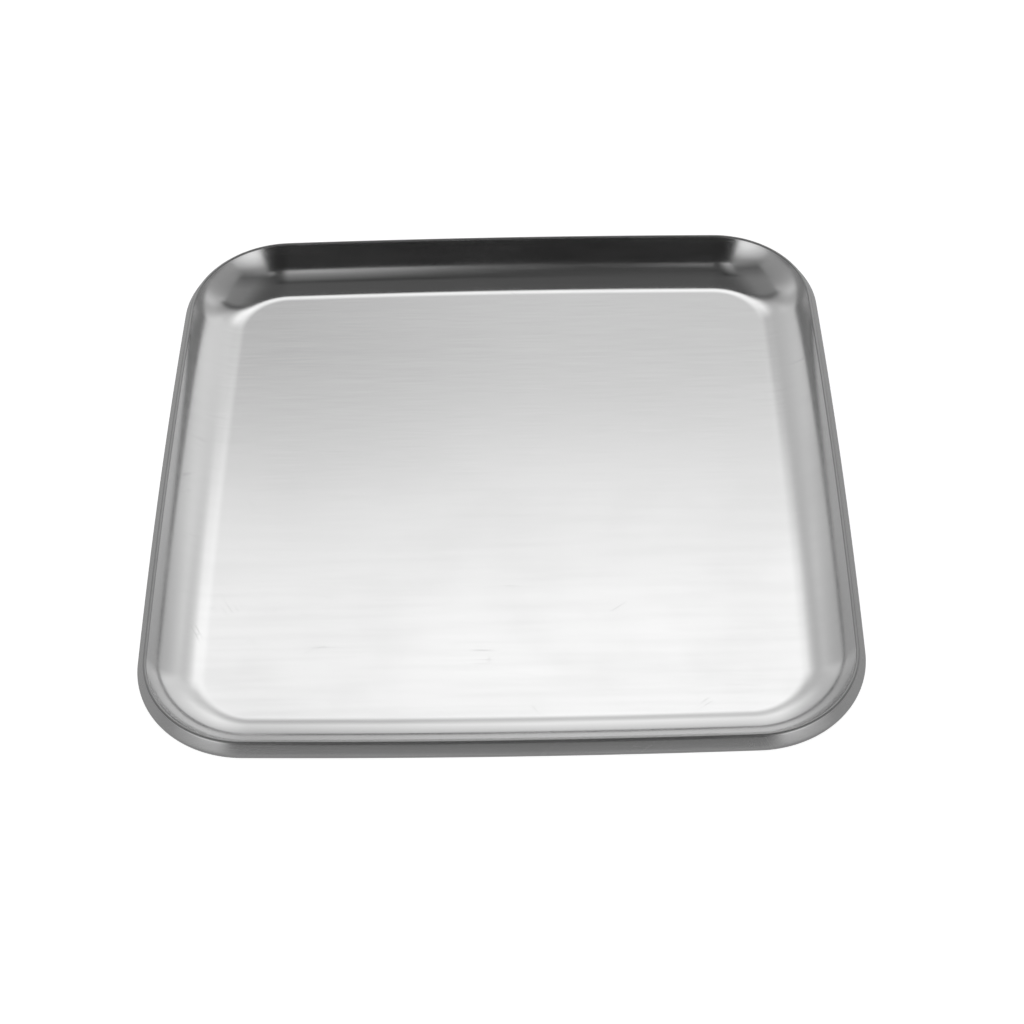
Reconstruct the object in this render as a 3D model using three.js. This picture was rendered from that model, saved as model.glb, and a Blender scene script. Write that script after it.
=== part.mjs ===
// Counting tray: a shallow square pan pressed from one sheet of stainless steel.
// Millimetres, +Z up. The origin is the middle of the flat underside.
// One section of the sheet is swept once around the rounded square outline: flat
// floor, the crease at its edge, coved wall, folded rim, turned-down lip and the
// curled edge of the lip.

import * as THREE from 'three';

// Driving dimensions, in millimetres and degrees. Radii are those of the face
// that shows: the inside of the crease and the cove, and the outside of the fold
// and the curl. Angles of the crease, wall and lip are from level.
const TRAY_WIDTH = 240;
const CORNER_RADIUS = 38;
const SIDE_BOW = 0.95;
const SHEET = 0.5;
const CREASE_RADIUS = 16;
const CREASE_ANGLE = 14;
const COVE_RADIUS = 21.5;
const WALL_ANGLE = 66;
const FOLD_RADIUS = 0.6;
const LIP_ANGLE = 57;
const LIP_LENGTH = 4.05;
const CURL_RADIUS = 1.4;
const CURL_ANGLE = 60;

// Facets along the section and around the outline
const CREASE_STEPS = 3;
const COVE_STEPS = 9;
const FOLD_STEPS = 6;
const CURL_STEPS = 3;
const SIDE_STEPS = 4;
const CORNER_STEPS = 12;

// Outline of the tray: four slightly bowed sides, each an arc of a large circle,
// joined by corner arcs that meet them tangentially. Insets of the outline keep
// the centres of these arcs and change only their radii.
const halfWidth = TRAY_WIDTH / 2;
const halfChord = halfWidth - CORNER_RADIUS;
const sideRadius = (halfChord ** 2 + SIDE_BOW ** 2) / (2 * SIDE_BOW);
const sideCentre = halfWidth - sideRadius;
const centreDistance = sideRadius - CORNER_RADIUS;
const cornerCentre = (sideCentre + Math.sqrt(2 * centreDistance ** 2 - sideCentre ** 2)) / 2;
const sideHalfAngle = Math.asin(cornerCentre / centreDistance);
const outlineSteps = 4 * (SIDE_STEPS + CORNER_STEPS);

// Points of the outline, moved inwards by `inset`.
function outline(inset) {
  const points = [];
  const addArc = (centre, radius, start, end, steps) => {
    for (let step = 0; step < steps; step += 1) {
      const angle = start + ((end - start) * step) / steps;
      const spoke = new THREE.Vector2(radius - inset, 0);
      points.push(spoke.rotateAround(new THREE.Vector2(), angle).add(centre));
    }
  };
  for (let quarter = 0; quarter < 4; quarter += 1) {
    const turn = (quarter * Math.PI) / 2;
    const side = new THREE.Vector2(sideCentre, 0);
    const corner = new THREE.Vector2(cornerCentre, cornerCentre);
    side.rotateAround(new THREE.Vector2(), turn);
    corner.rotateAround(new THREE.Vector2(), turn);
    const cornerStart = turn + sideHalfAngle;
    const cornerEnd = turn + Math.PI / 2 - sideHalfAngle;
    addArc(side, sideRadius, turn - sideHalfAngle, cornerStart, SIDE_STEPS);
    addArc(corner, CORNER_RADIUS, cornerStart, cornerEnd, CORNER_STEPS);
  }
  return points;
}

// Middle line of the sheet from the edge of the floor to the curled edge of the
// lip. Each station has its distance out from the floor's edge, its height and
// its heading, in radians above level.
function sheetStations() {
  const stations = [{ out: 0, up: SHEET / 2, heading: 0 }];
  const advance = (length, bearing, heading) => {
    const { out, up } = stations.at(-1);
    stations.push({
      out: out + length * Math.cos(bearing),
      up: up + length * Math.sin(bearing),
      heading,
    });
  };
  const bend = (radius, degrees, steps) => {
    const turn = THREE.MathUtils.degToRad(degrees) / steps;
    const chord = 2 * radius * Math.sin(Math.abs(turn) / 2);
    for (let step = 0; step < steps; step += 1) {
      const { heading } = stations.at(-1);
      advance(chord, heading + turn / 2, heading + turn);
    }
  };
  bend(CREASE_RADIUS + SHEET / 2, CREASE_ANGLE, CREASE_STEPS);
  bend(COVE_RADIUS + SHEET / 2, WALL_ANGLE - CREASE_ANGLE, COVE_STEPS);
  bend(FOLD_RADIUS - SHEET / 2, -WALL_ANGLE - LIP_ANGLE, FOLD_STEPS);
  const lipHeading = stations.at(-1).heading;
  advance(LIP_LENGTH, lipHeading, lipHeading);
  bend(CURL_RADIUS - SHEET / 2, -CURL_ANGLE, CURL_STEPS);
  return stations;
}

// Closed section of the sheet: out along its upper face and back along its lower
// one, half a sheet to each side of the middle line.
function sheetSection() {
  const face = (offset) => ({ out, up, heading }) => new THREE.Vector2(
    out - offset * Math.sin(heading),
    up + offset * Math.cos(heading),
  );
  const stations = sheetStations();
  const upper = stations.map(face(SHEET / 2));
  const lower = stations.map(face(-SHEET / 2));
  return [...upper, ...lower.reverse()];
}

// One closed surface: the section swept around the outline, with both faces of
// the floor closed by a fan of triangles about the middle.
function pressedPan() {
  const section = sheetSection();
  const reach = Math.max(...section.map((point) => point.x));
  const vertices = [];
  section.forEach(({ x: out, y: up }) => {
    outline(reach - out).forEach((place) => vertices.push(place.x, place.y, up));
  });
  const triangles = [];
  const lastRing = (section.length - 1) * outlineSteps;
  for (let ring = 0; ring < lastRing; ring += outlineSteps) {
    for (let spot = 0; spot < outlineSteps; spot += 1) {
      const near = ring + spot;
      const nearNext = ring + ((spot + 1) % outlineSteps);
      const far = near + outlineSteps;
      const farNext = nearNext + outlineSteps;
      triangles.push(near, far, nearNext);
      triangles.push(nearNext, far, farNext);
    }
  }
  const floorMiddle = lastRing + outlineSteps;
  const undersideMiddle = floorMiddle + 1;
  vertices.push(0, 0, SHEET);
  vertices.push(0, 0, 0);
  for (let spot = 0; spot < outlineSteps; spot += 1) {
    const next = (spot + 1) % outlineSteps;
    triangles.push(floorMiddle, spot, next);
    triangles.push(undersideMiddle, lastRing + next, lastRing + spot);
  }
  const geometry = new THREE.BufferGeometry();
  geometry.setAttribute('position', new THREE.Float32BufferAttribute(vertices, 3));
  geometry.setIndex(triangles);
  geometry.computeVertexNormals();
  return geometry;
}

// The pan is the whole tray: floor, wall, rim and lip are one piece of steel.
function trayPan() {
  const satinSteel = new THREE.MeshStandardMaterial({
    color: '#c8c8c6',
    roughness: 0.28,
    metalness: 1,
  });
  const pan = new THREE.Mesh(pressedPan(), satinSteel);
  pan.name = 'tray_pan';
  return pan;
}

const tray = new THREE.Group();
tray.add(trayPan());

export default tray;
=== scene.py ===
"""Counting tray in satin stainless steel, on a pale floor under soft studio light."""

import math

import bmesh
import bpy
from mathutils import Matrix, Vector


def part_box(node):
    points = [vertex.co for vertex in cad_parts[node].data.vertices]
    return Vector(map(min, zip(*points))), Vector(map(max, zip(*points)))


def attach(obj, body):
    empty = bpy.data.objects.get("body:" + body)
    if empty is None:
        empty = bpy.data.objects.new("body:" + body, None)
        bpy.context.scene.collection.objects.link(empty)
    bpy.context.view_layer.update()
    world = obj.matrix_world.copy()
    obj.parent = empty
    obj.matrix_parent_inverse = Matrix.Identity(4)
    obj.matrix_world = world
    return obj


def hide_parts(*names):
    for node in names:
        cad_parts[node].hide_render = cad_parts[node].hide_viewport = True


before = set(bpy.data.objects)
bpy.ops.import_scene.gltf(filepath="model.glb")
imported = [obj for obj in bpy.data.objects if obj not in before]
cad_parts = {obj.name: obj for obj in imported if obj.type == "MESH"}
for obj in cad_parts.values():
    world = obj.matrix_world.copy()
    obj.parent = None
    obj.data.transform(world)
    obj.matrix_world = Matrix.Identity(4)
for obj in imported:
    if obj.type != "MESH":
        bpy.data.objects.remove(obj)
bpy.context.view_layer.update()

# ---------------------------------------------------------------- dimensions
# Metres and degrees, with the same driving dimensions as the CAD part.
MM = 0.001
HALF_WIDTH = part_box("tray_pan")[1].x
RIM_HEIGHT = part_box("tray_pan")[1].z
CORNER_RADIUS = 38 * MM
SIDE_BOW = 0.95 * MM
SHEET = 0.5 * MM
CREASE_RADIUS = 16 * MM
CREASE_ANGLE = 14
COVE_RADIUS = 21.5 * MM
WALL_ANGLE = 66
FOLD_RADIUS = 0.6 * MM
LIP_ANGLE = 57
LIP_LENGTH = 4.05 * MM
CURL_RADIUS = 1.4 * MM
CURL_ANGLE = 60

# The outline is drawn in by this much, so the mesh stays inside the CAD box.
SKIN = 0.02 * MM

# The cut edge bulges out by this share of half the sheet's thickness.
EDGE_BULGE = 0.4

# How far the pressed floor strays from flat: a crown, and two slow waves given as
# (across, along, phase) in radians per half floor
FLOOR_CROWN = 0.08 * MM
FLOOR_WAVE = 0.015 * MM
FLOOR_WAVES = ((3.1, 1.3, 0.4), (-1.9, 2.3, 1.1))

# Facets along the section and around the outline
CREASE_STEPS = 12
COVE_STEPS = 36
FOLD_STEPS = 12
LIP_STEPS = 6
CURL_STEPS = 10
EDGE_STEPS = 4
SIDE_STEPS = 40
CORNER_STEPS = 36
FLOOR_RINGS = 14


# ------------------------------------------------------------------- outline
def outline_arcs():
    """(centre, radius, start angle, end angle, steps) of each arc of the outline."""
    half_chord = HALF_WIDTH - CORNER_RADIUS
    side_radius = (half_chord**2 + SIDE_BOW**2) / (2 * SIDE_BOW)
    side_centre = HALF_WIDTH - side_radius
    reach = side_radius - CORNER_RADIUS
    corner = (side_centre + math.sqrt(2 * reach**2 - side_centre**2)) / 2
    half_angle = math.asin(corner / reach)
    arcs = []
    for quarter in range(4):
        turn = quarter * math.pi / 2
        spin = Matrix.Rotation(turn, 2)
        side_at = spin @ Vector((side_centre, 0))
        corner_at = spin @ Vector((corner, corner))
        start, end = turn + half_angle, turn + math.pi / 2 - half_angle
        arcs.append((side_at, side_radius, turn - half_angle, start, SIDE_STEPS))
        arcs.append((corner_at, CORNER_RADIUS, start, end, CORNER_STEPS))
    return arcs


def outline(inset):
    """Points of the tray's outline, moved inwards by inset, each with the direction
    that faces out of the tray there."""
    points = []
    for centre, radius, start, end, steps in outline_arcs():
        for step in range(steps):
            angle = start + (end - start) * step / steps
            outward = Vector((math.cos(angle), math.sin(angle)))
            points.append((centre + outward * (radius - inset), outward))
    return points


# ------------------------------------------------------------------- section
def sheet_stations():
    """The sheet's middle line: (out from the floor's edge, height, heading, length)."""
    stations = [(0.0, SHEET / 2, 0.0, 0.0)]

    def advance(length, bearing, heading):
        out, up, _, run = stations[-1]
        stations.append((out + length * math.cos(bearing),
                         up + length * math.sin(bearing), heading, run + length))

    def bend(radius, degrees, steps):
        turn = math.radians(degrees) / steps
        chord = 2 * radius * math.sin(abs(turn) / 2)
        for _ in range(steps):
            heading = stations[-1][2]
            advance(chord, heading + turn / 2, heading + turn)

    bend(CREASE_RADIUS + SHEET / 2, CREASE_ANGLE, CREASE_STEPS)
    bend(COVE_RADIUS + SHEET / 2, WALL_ANGLE - CREASE_ANGLE, COVE_STEPS)
    bend(FOLD_RADIUS - SHEET / 2, -WALL_ANGLE - LIP_ANGLE, FOLD_STEPS)
    lip_heading = stations[-1][2]
    for _ in range(LIP_STEPS):
        advance(LIP_LENGTH / LIP_STEPS, lip_heading, lip_heading)
    bend(CURL_RADIUS - SHEET / 2, -CURL_ANGLE, CURL_STEPS)
    return stations


def sheet_section():
    """Closed section as (out, height, length): the upper face, the cut edge, the
    lower face back to the floor."""
    stations = sheet_stations()
    half = SHEET / 2

    def beside(station, across, ahead=0.0):
        out, up, heading, run = station
        return (out - across * math.sin(heading) + ahead * math.cos(heading),
                up + across * math.cos(heading) + ahead * math.sin(heading), run)

    upper = [beside(station, half) for station in stations]
    lower = [beside(station, -half) for station in reversed(stations)]
    edge = []
    for step in range(1, EDGE_STEPS):
        angle = math.pi * step / EDGE_STEPS
        bulge = EDGE_BULGE * half * math.sin(angle)
        edge.append(beside(stations[-1], half * math.cos(angle), bulge))
    return upper + edge + lower


# ----------------------------------------------------------------- tray mesh
def floor_lift(x, y, half_floor):
    """Height of the pressed floor above flat: a slight crown with slow waves."""
    u, v = x / half_floor, y / half_floor
    fade = max(0.0, 1 - u * u) * max(0.0, 1 - v * v)
    wave = sum(math.sin(across * u + along * v + phase) for across, along, phase in FLOOR_WAVES)
    return fade * (FLOOR_CROWN + FLOOR_WAVE * wave)


class TrayMesh:
    """Rings of vertices joined into one closed skin. Each vertex also keeps its
    place on the flat blank that the tray was pressed from, for the grain."""

    def __init__(self):
        self.bm = bmesh.new()
        self.blank = self.bm.verts.layers.float_vector.new("blank")
        section = sheet_section()
        self.reach = max(out for out, _, _ in section) + SKIN
        self.half_floor = HALF_WIDTH - self.reach
        self.floor_edge = [place for place, _ in outline(self.reach)]
        self.build(section)

    def wall_ring(self, out, up, run):
        ring = []
        for (place, outward), foot in zip(outline(self.reach - out), self.floor_edge):
            vert = self.bm.verts.new((*place, up))
            flat = foot + outward * run
            vert[self.blank] = (*flat, run)
            ring.append(vert)
        return ring

    def floor_ring(self, scale, up):
        ring = []
        for foot in self.floor_edge:
            place = foot * scale
            vert = self.bm.verts.new((*place, up + floor_lift(*place, self.half_floor)))
            vert[self.blank] = (*place, 0)
            ring.append(vert)
        return ring

    def join(self, first, second):
        for spot, vert in enumerate(first):
            after = (spot + 1) % len(first)
            self.bm.faces.new((vert, second[spot], second[after], first[after]))

    def floor_face(self, edge_ring, up):
        ring = edge_ring
        for step in range(1, FLOOR_RINGS):
            inner = self.floor_ring(1 - step / FLOOR_RINGS, up)
            self.join(ring, inner)
            ring = inner
        middle = self.bm.verts.new((0, 0, up + floor_lift(0, 0, self.half_floor)))
        for spot, vert in enumerate(ring):
            self.bm.faces.new((middle, vert, ring[(spot + 1) % len(ring)]))

    def build(self, section):
        rings = [self.wall_ring(*station) for station in section]
        for first, second in zip(rings, rings[1:]):
            self.join(first, second)
        self.floor_face(rings[0], SHEET)
        self.floor_face(rings[-1], 0.0)
        bmesh.ops.recalc_face_normals(self.bm, faces=self.bm.faces)

    def finish(self, name):
        mesh = bpy.data.meshes.new(name)
        self.bm.to_mesh(mesh)
        self.bm.free()
        mesh.shade_smooth()
        return mesh


# ----------------------------------------------------------------- materials
# White paper under the tray: how much light it scatters, and how much it gives off
PAPER_TONE = 0.8
PAPER_GLOW = 0.93

# Marks on the steel: (stretch, scale per metre, detail, roughness) of each noise. The
# stretch across Y draws the marks out along X.
GRAIN = ((1, 60, 1), 45, 4.0, 0.6)
STREAKS = ((1, 18, 1), 14, 3.0, 0.5)
CLOUDS = ((1, 1, 1), 16, 3.0, 0.5)

# Hairline scratches: (degrees of turn, stretch, scale per metre, width, patch scale).
# They fade in where a second, patchy noise rises through the span below.
SCRATCHES = ((3, 40, 9, 0.003, 45), (58, 44, 12, 0.002, 55), (-37, 50, 11, 0.002, 50))
SCRATCH_PATCHES = (0.56, 0.66)

# The steel's own tone, the share of it left by the faintest and the strongest grain and clouds,
# the share that scratches take away as wear, and the share taken away at the fold, which is
# painted shade along the crease
STEEL_TONE = 0.68
GRAIN_TONE = (0.95, 1.0)
CLOUD_TONE = (1.0, 0.975)
SCRATCH_LOSS = 0.04
FOLD_PAINTED_SHADE = 0.45

# The noise values between which each mark goes from its faintest to its strongest
NOISE_SPAN = (0.3, 0.7)
STREAK_SPAN = (0.35, 0.7)
CLOUD_SPAN = (0.4, 0.7)

# Roughness under the faintest and the strongest grain, and what each mark or zone
# adds to it
GRAIN_ROUGHNESS = (0.13, 0.17)
STREAK_ROUGHNESS = (-0.01, 0.015)
CLOUD_ROUGHNESS = (0.0, 0.03)
SCRATCH_ROUGHNESS = 0.06
WALL_ROUGHNESS = 0.03
LIP_ROUGHNESS = 0.04
FOLD_ROUGHNESS = 0.22

# How far the steel stretches reflections along X, the way that its marks run
ANISOTROPY = 0.3

# Relief of the marks, and each one's share of it
RELIEF_DEPTH = 0.004 * MM
RELIEF_STRENGTH = 0.1
RELIEF_GRAIN, RELIEF_STREAKS, RELIEF_SCRATCHES = 0.6, 0.4, 0.4

# How softly the finish changes from the wall to the fold and on to the lip
ZONE_BLEND = 0.25 * MM


class Nodes:
    """A new node material, with short calls that add and link its nodes."""

    def __init__(self, name):
        self.material = bpy.data.materials.new(name)
        self.material.use_nodes = True
        self.tree = self.material.node_tree
        self.tree.nodes.clear()
        self.output = self.tree.nodes.new("ShaderNodeOutputMaterial")

    def add(self, kind, values=(), **settings):
        node = self.tree.nodes.new("ShaderNode" + kind)
        for key, value in settings.items():
            setattr(node, key, value)
        for key, value in dict(values).items():
            if isinstance(value, bpy.types.NodeSocket):
                self.tree.links.new(value, node.inputs[key])
            else:
                node.inputs[key].default_value = value
        return node

    def math(self, operation, first, second=0.0):
        node = self.add("Math", {0: first, 1: second}, operation=operation)
        return node.outputs["Value"]

    def remap(self, value, low, high, to_low, to_high, smooth=True):
        kind = "SMOOTHSTEP" if smooth else "LINEAR"
        node = self.add("MapRange", {"Value": value, "From Min": low, "From Max": high,
                                     "To Min": to_low, "To Max": to_high},
                        interpolation_type=kind)
        return node.outputs["Result"]

    def noise(self, vector, stretch, scale, detail, roughness=0.5):
        place = self.add("Mapping", {"Vector": vector, "Scale": stretch})
        node = self.add("TexNoise", {"Vector": place.outputs["Vector"], "Scale": scale,
                                     "Detail": detail, "Roughness": roughness})
        return node.outputs["Fac"]

    def hairlines(self, vector, turn, stretch, scale, width, patch_scale):
        """Thin, long, sparse lines, turned by an angle from the grain."""
        spun = self.add("Mapping", {"Vector": vector, "Rotation": (0, 0, math.radians(turn))})
        field = self.noise(spun.outputs["Vector"], (1, stretch, 1), scale, 1.0)
        offset = self.math("ABSOLUTE", self.math("SUBTRACT", field, 0.5))
        line = self.remap(offset, 0.0, width, 1.0, 0.0)
        patch = self.noise(spun.outputs["Vector"], (1, 1, 1), patch_scale, 1.0)
        return self.math("MULTIPLY", line, self.remap(patch, *SCRATCH_PATCHES, 0.0, 1.0))

    def surface(self, node, socket):
        self.tree.links.new(node.outputs[socket], self.output.inputs["Surface"])
        return self.material


def steel_marks(n, flat):
    """The marks on the flat blank: fine grain, wider streaks, wipe clouds, scratches."""
    grain, streak, cloud = (n.noise(flat, *mark) for mark in (GRAIN, STREAKS, CLOUDS))
    scratch = 0.0
    for lines in SCRATCHES:
        scratch = n.math("MAXIMUM", scratch, n.hairlines(flat, *lines))
    return grain, streak, cloud, scratch


def sheet_zones(n, run):
    """Masks by the distance along the sheet: the drawn wall, the fold and the lip."""
    lengths = [station[3] for station in sheet_stations()]
    wall_start = lengths[CREASE_STEPS]
    fold_start = lengths[CREASE_STEPS + COVE_STEPS]
    fold_end = lengths[CREASE_STEPS + COVE_STEPS + FOLD_STEPS]
    wall = n.remap(run, wall_start, fold_start, 0.0, 1.0)
    rising = n.remap(run, fold_start - ZONE_BLEND, fold_start, 0.0, 1.0)
    falling = n.remap(run, fold_end, fold_end + ZONE_BLEND, 1.0, 0.0)
    lip = n.remap(run, fold_end, fold_end + ZONE_BLEND, 0.0, 1.0)
    return wall, n.math("MULTIPLY", rising, falling), lip


def satin_steel():
    """Polished stainless sheet with fine straight grain, cloudy wipe marks, a few hairline
    scratches, duller walls, and a duller line at the fold, darkened there by painted shade."""
    n = Nodes("satin_steel")
    blank = n.add("Attribute", attribute_name="blank").outputs["Vector"]
    split = n.add("SeparateXYZ", {"Vector": blank})
    flat = n.add("CombineXYZ", {"X": split.outputs["X"], "Y": split.outputs["Y"]})
    grain, streak, cloud, scratch = steel_marks(n, flat.outputs["Vector"])
    wall, fold, lip = sheet_zones(n, split.outputs["Z"])

    rough = n.remap(grain, *NOISE_SPAN, *GRAIN_ROUGHNESS, smooth=False)
    rough = n.math("ADD", rough, n.remap(streak, *STREAK_SPAN, *STREAK_ROUGHNESS))
    rough = n.math("ADD", rough, n.remap(cloud, *CLOUD_SPAN, *CLOUD_ROUGHNESS))
    for mask, extra in ((scratch, SCRATCH_ROUGHNESS), (wall, WALL_ROUGHNESS),
                        (lip, LIP_ROUGHNESS), (fold, FOLD_ROUGHNESS)):
        rough = n.math("ADD", rough, n.math("MULTIPLY", mask, extra))

    tone = n.remap(grain, *NOISE_SPAN, *GRAIN_TONE, smooth=False)
    tone = n.math("MULTIPLY", tone, n.remap(cloud, *NOISE_SPAN, *CLOUD_TONE))
    # Scratches darken the tone as wear; the darkening at the fold is painted shade along the
    # crease.
    for mask, wear_and_shade_loss in ((scratch, SCRATCH_LOSS), (fold, FOLD_PAINTED_SHADE)):
        left = n.math("SUBTRACT", 1.0, n.math("MULTIPLY", mask, wear_and_shade_loss))
        tone = n.math("MULTIPLY", tone, left)
    colour = n.add("Mix", {"Factor": tone, "A": (0.0, 0.0, 0.0, 1),
                           "B": (STEEL_TONE, STEEL_TONE, STEEL_TONE, 1)}, data_type="RGBA")

    height = n.math("ADD", n.math("MULTIPLY", grain, RELIEF_GRAIN),
                    n.math("MULTIPLY", streak, RELIEF_STREAKS))
    height = n.math("SUBTRACT", height, n.math("MULTIPLY", scratch, RELIEF_SCRATCHES))
    bump = n.add("Bump", {"Height": height, "Strength": RELIEF_STRENGTH,
                          "Distance": RELIEF_DEPTH})
    along_grain = n.add("CombineXYZ", {"X": 1.0, "Y": 0.0, "Z": 0.0})
    shader = n.add("BsdfPrincipled", {"Base Color": colour.outputs["Result"], "Metallic": 1.0,
                                      "Roughness": rough, "Anisotropic": ANISOTROPY,
                                      "Tangent": along_grain.outputs["Vector"],
                                      "Normal": bump.outputs["Normal"]})
    return n.surface(shader, "BSDF")


def glow(name, strength):
    """The same glow all over."""
    n = Nodes(name)
    return n.surface(n.add("Emission", {"Strength": strength}), "Emission")


def glow_field(name, *layers):
    """A glow that changes over its card. A layer is one or more profiles, which are
    multiplied, and the layers are added up. A profile is an axis and its stops of
    (metres, brightness); |X| is the distance to either side of the middle."""
    n = Nodes(name)
    place = n.add("SeparateXYZ", {"Vector": n.add("NewGeometry").outputs["Position"]})

    def profile(axis, stops):
        value = place.outputs[axis.strip("|")]
        if axis.startswith("|"):
            value = n.math("ABSOLUTE", value)
        total = None
        for (start, level), (end, next_level) in zip(stops, stops[1:]):
            rise = next_level - level
            if total is None:
                total = n.remap(value, start, end, level, next_level, smooth=False)
            elif rise:
                total = n.math("ADD", total, n.remap(value, start, end, 0, rise, smooth=False))
        return total

    brightness = None
    for layer in layers:
        product = None
        for axis, *stops in layer:
            part = profile(axis, stops)
            product = part if product is None else n.math("MULTIPLY", product, part)
        brightness = product if brightness is None else n.math("ADD", brightness, product)
    return n.surface(n.add("Emission", {"Strength": brightness}), "Emission")


def pale_floor():
    """White paper that mostly glows, so that the tray's shadow on it stays faint."""
    n = Nodes("pale_floor")
    shader = n.add("BsdfPrincipled", {"Base Color": (*[PAPER_TONE] * 3, 1), "Roughness": 1.0,
                                      "Specular IOR Level": 0.0,
                                      "Emission Color": (1, 1, 1, 1),
                                      "Emission Strength": PAPER_GLOW})
    return n.surface(shader, "BSDF")


# -------------------------------------------------------------------- studio
# Metres from the middle of the tray's underside. The cards show only in the steel.
PANEL_Y = 1.6
PANEL_HEIGHT = 3.0
SIDE_X = 4.0
SIDE_FRONT_Y = -2.0
CEILING_Z = 3.4
FRONT_Y = -1.0
SMALL_LIGHT_Z = 1.2
TABLE_Z = -0.001
TABLE_REACH = 2.0
LEDGE_Y = -0.19
LEDGE_REACH = 0.3
LEDGE_HEIGHT = 0.026
LEDGE_GLOW = 0.38

# What the camera sees round the tray, and the light on the floor
FLOOR_REACH = 3.0
DOME_RADIUS = 4.0
DOME_GLOW = 1.0
ROOM_TONE = 0.02
LAMP_HEIGHT = 1.5
LAMP_WIDTH = 1.6
LAMP_WATTS = 5


def add_object(name, data):
    thing = bpy.data.objects.new(name, data)
    bpy.context.scene.collection.objects.link(thing)
    return thing


def seen_by(piece, camera=False, glossy=False, diffuse=False):
    piece.visible_camera = camera
    piece.visible_glossy = glossy
    piece.visible_diffuse = diffuse
    piece.visible_shadow = False
    piece.visible_transmission = False
    piece.visible_volume_scatter = False


def stage_quad(name, corners, material):
    """A flat four-cornered stage piece."""
    mesh = bpy.data.meshes.new(name)
    mesh.from_pydata(corners, [], [(0, 1, 2, 3)])
    mesh.materials.append(material)
    piece = add_object(name, mesh)
    return piece


def card(corners, material):
    """A glowing card that shows only as a reflection in the steel."""
    seen_by(stage_quad(material.name, corners, material), glossy=True)


def facing_y(y, x0, x1, z0, z1):
    return ((x0, y, z0), (x1, y, z0), (x1, y, z1), (x0, y, z1))


def facing_x(x, y0, y1, z0, z1):
    return ((x, y0, z0), (x, y1, z0), (x, y1, z1), (x, y0, z1))


def facing_z(z, x0, x1, y0, y1):
    return ((x0, y0, z), (x1, y0, z), (x1, y1, z), (x0, y1, z))


def span(profile):
    """First and last place among a profile's stops."""
    _, *stops = profile
    return stops[0][0], stops[-1][0]


def add_back_panel():
    """A tall soft panel behind the tray, brightest high up in its middle."""
    high = (("|X|", (0.0, 1.0), (0.6, 1.0), (0.9, 0.5), (1.3, 0.1)),
            ("Z", (1.3, 0.0), (1.6, 0.26), (1.85, 0.72), (2.1, 1.0), (2.45, 1.2),
             (2.65, 0.85), (2.95, 0.0)))
    broad = (("X", (-3.2, 0.8), (-2.6, 0.55), (-2.0, 0.55), (-1.5, 0.82), (-0.75, 0.58),
              (-0.35, 0.48), (0.0, 0.66), (0.35, 0.66), (0.75, 0.84), (1.5, 0.98),
              (2.0, 0.6), (2.6, 0.55), (3.2, 0.8)),
             ("Z", (0.0, 1.0), (1.35, 1.0), (1.7, 0.8), (2.4, 0.55), (2.65, 0.4),
              (2.95, 0.12)))
    low = (("|X|", (0.0, 1.0), (0.4, 0.75), (0.8, 0.2), (1.1, 0.0)),
           ("Z", (0.0, 0.1), (0.4, 0.35), (0.9, 0.65), (1.2, 0.3), (1.5, 0.04)))
    card(facing_y(PANEL_Y, -SIDE_X, SIDE_X, 0.0, PANEL_HEIGHT),
         glow_field("back_panel", high, broad, low))


def add_front_cards():
    """Two soft boxes in front, left and right of a dark gap, brightest low down."""
    across = ("|X|", (0.46, 0.8), (0.55, 1.0), (0.85, 0.95), (1.3, 0.75), (2.0, 0.5))
    up = ("Z", (0.05, 1.2), (0.3, 1.2), (0.8, 0.85), (1.3, 0.4), (2.4, 0.2))
    inner, outer = span(across)
    for side, name in ((-1, "front_left"), (1, "front_right")):
        card(facing_y(FRONT_Y, side * inner, side * outer, *span(up)),
             glow_field(name, (across, up)))


def add_sides_and_ceiling():
    """Large soft cards to the left and right, and a dim one overhead."""
    along = ("Y", (SIDE_FRONT_Y, 0.42), (0.0, 0.42), (0.8, 0.48), (PANEL_Y, 0.8))
    up = ("Z", (0.0, 1.0), (CEILING_Z, 0.8))
    for side, name in ((-1, "side_left"), (1, "side_right")):
        card(facing_x(side * SIDE_X, *span(along), *span(up)), glow_field(name, (along, up)))
    across = ("|X|", (0.0, 0.1), (0.5, 0.12), (1.5, 0.26), (SIDE_X, 0.3))
    along = ("Y", (-PANEL_Y, 0.4), (0.0, 1.0), (PANEL_Y, 1.0))
    card(facing_z(CEILING_Z, -SIDE_X, SIDE_X, *span(along)),
         glow_field("ceiling", (across, along)))


def add_small_lights():
    """Two small soft lights overhead that put crescents on the far wall."""
    left = (("X", (-0.28, 1.0), (-0.15, 0.85), (-0.02, 0.0)),
            ("Y", (-0.64, 0.85), (-0.35, 0.42), (0.0, 0.05)))
    right = (("X", (0.1, 0.0), (0.17, 1.0), (0.25, 1.0)),
             ("Y", (-0.6, 0.6), (-0.3, 0.05)))
    for name, (across, along) in (("overhead_left", left), ("overhead_right", right)):
        card(facing_z(SMALL_LIGHT_Z, *span(across), *span(along)),
             glow_field(name, (across, along)))


def add_table_tone():
    """What the steel sees of the table and of a low grey ledge in front of the tray."""
    table = (("Y", (-0.3, 0.22), (-0.1, 0.36), (0.1, 0.38), (0.6, 0.6)),)
    reach = (-TABLE_REACH, TABLE_REACH)
    card(facing_z(TABLE_Z, *reach, *reach), glow_field("table_tone", table))
    card(facing_y(LEDGE_Y, -LEDGE_REACH, LEDGE_REACH, 0.0, LEDGE_HEIGHT),
         glow("low_ledge", LEDGE_GLOW))


def add_floor():
    reach = (-FLOOR_REACH, FLOOR_REACH)
    floor = stage_quad("floor", facing_z(0, *reach, *reach), pale_floor())
    seen_by(floor, camera=True, diffuse=True)


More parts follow.
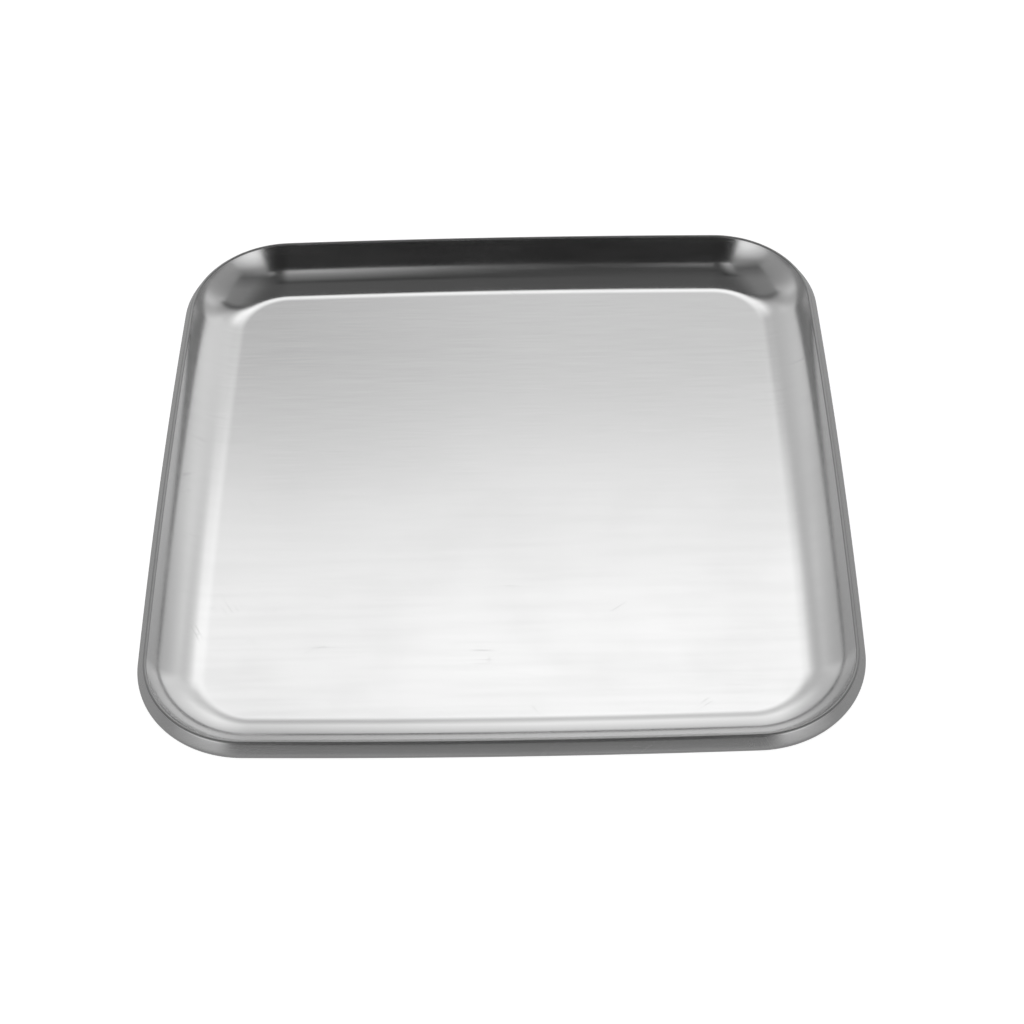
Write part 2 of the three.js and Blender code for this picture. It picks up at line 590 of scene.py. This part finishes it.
def add_backdrop():
    """A white dome that only the camera sees."""
    mesh = bpy.data.meshes.new("backdrop")
    bm = bmesh.new()
    bmesh.ops.create_icosphere(bm, subdivisions=4, radius=DOME_RADIUS)
    bm.to_mesh(mesh)
    bm.free()
    mesh.materials.append(glow("backdrop", DOME_GLOW))
    dome = add_object("backdrop", mesh)
    seen_by(dome, camera=True)


def add_room_light():
    """A dim room, and a lamp overhead that the steel doesn't mirror."""
    world = bpy.data.worlds.new("dim_room")
    world.use_nodes = True
    background = world.node_tree.nodes["Background"]
    background.inputs["Color"].default_value = (*[ROOM_TONE] * 3, 1)
    bpy.context.scene.world = world
    data = bpy.data.lights.new("soft_overhead", "AREA")
    data.shape = "DISK"
    data.size = LAMP_WIDTH
    data.energy = LAMP_WATTS
    lamp = add_object("soft_overhead", data)
    lamp.location = (0, 0, LAMP_HEIGHT)
    lamp.visible_glossy = False
    lamp.visible_camera = False


# -------------------------------------------------------------------- camera
# Lens in millimetres, shifts as shares of the picture's width, angles in degrees,
# and metres from the middle of the tray at the rim's height
CAMERA_LENS = 76.043
CAMERA_SHIFT_X = 0.01172
CAMERA_SHIFT_Y = -0.04766
CAMERA_ELEVATION = 48.16
CAMERA_YAW = -1.62
CAMERA_ROLL = -2.20
CAMERA_DISTANCE = 0.7587


def add_camera():
    elevation, yaw, roll = map(math.radians, (CAMERA_ELEVATION, CAMERA_YAW, CAMERA_ROLL))
    forward = Vector((math.sin(yaw) * math.cos(elevation),
                      math.cos(yaw) * math.cos(elevation), -math.sin(elevation)))
    level = Vector((math.cos(yaw), -math.sin(yaw), 0))
    rise = level.cross(forward)
    right = level * math.cos(roll) + rise * math.sin(roll)
    up = rise * math.cos(roll) - level * math.sin(roll)
    data = bpy.data.cameras.new("camera")
    data.lens = CAMERA_LENS
    data.shift_x = CAMERA_SHIFT_X
    data.shift_y = CAMERA_SHIFT_Y
    camera = add_object("camera", data)
    camera.location = Vector((0, 0, RIM_HEIGHT)) - forward * CAMERA_DISTANCE
    camera.rotation_euler = Matrix((right, up, -forward)).transposed().to_euler()
    bpy.context.scene.camera = camera


# --------------------------------------------------------------------- scene
tray = add_object("tray_steel", TrayMesh().finish("tray_steel"))
tray.data.materials.append(satin_steel())
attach(tray, "root")
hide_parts("tray_pan")

add_camera()
add_floor()
add_backdrop()
add_room_light()
add_back_panel()
add_front_cards()
add_sides_and_ceiling()
add_small_lights()
add_table_tone()
bpy.context.scene.view_settings.view_transform = "Standard"
